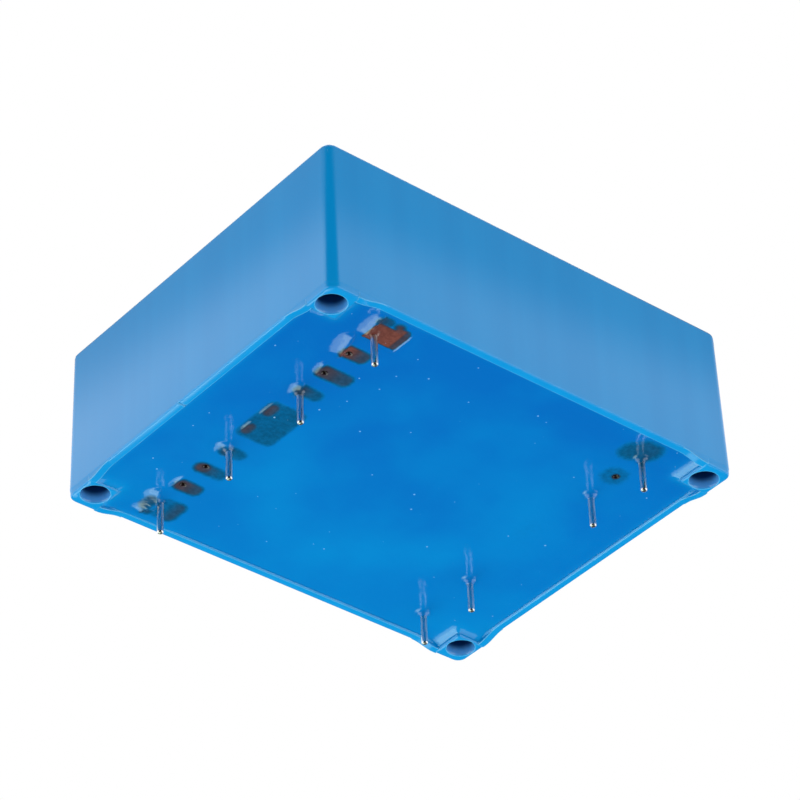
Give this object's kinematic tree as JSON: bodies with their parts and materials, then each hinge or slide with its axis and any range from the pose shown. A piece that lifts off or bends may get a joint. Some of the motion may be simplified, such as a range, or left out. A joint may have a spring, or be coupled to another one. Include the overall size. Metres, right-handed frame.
{
  "type": "potted toroidal circuit board transformer",
  "caption": "Low-profile mains transformer for a printed circuit board: a ring-core coil cast in a blue case, with two rows of solder pins and corner screw holes.",
  "frame": {"origin": "on the board surface, at the middle of the four screw holes", "axes": "+Z from the board to the closed top of the case, X across the two pin rows, Y along the pin rows; the pins reach below z = 0"},
  "size_m": [0.0676, 0.0564, 0.0276],
  "materials": {
    "case": "satin moulded plastic",
    "resin": "glossy cast resin",
    "strip": "brown phenolic moulding",
    "pin": "bright tinned wire",
    "solder": "soft bright solder",
    "core": "wound steel strip",
    "core_wrap": "insulating sleeve",
    "copper_wire": "enamelled copper",
    "tape": "polyester film tape"
  },
  "bodies": {
    "root": {"case": "case", "potting_resin": "resin", "primary_terminal_strip": "strip", "secondary_terminal_strip": "strip", "pin_1": "pin", "pin_4": "pin", "pin_7": "pin", "pin_10": "pin", "pin_11": "pin", "pin_13": "pin", "pin_18": "pin", "pin_20": "pin", "ring_core": "core", "core_insulation": "core_wrap", "primary_winding_1": "copper_wire", "primary_winding_2": "copper_wire", "interlayer_tape": "tape", "secondary_winding_1": "copper_wire", "secondary_winding_2": "copper_wire", "outer_tape": "tape", "lead_1": "copper_wire", "lead_4": "copper_wire", "lead_7": "copper_wire", "lead_10": "copper_wire", "lead_11": "copper_wire", "lead_13": "copper_wire", "lead_18": "copper_wire", "lead_20": "copper_wire", "solder_1": "solder", "solder_4": "solder", "solder_7": "solder", "solder_10": "solder", "solder_11": "solder", "solder_13": "solder", "solder_18": "solder", "solder_20": "solder"}
  },
  "joints": []
}
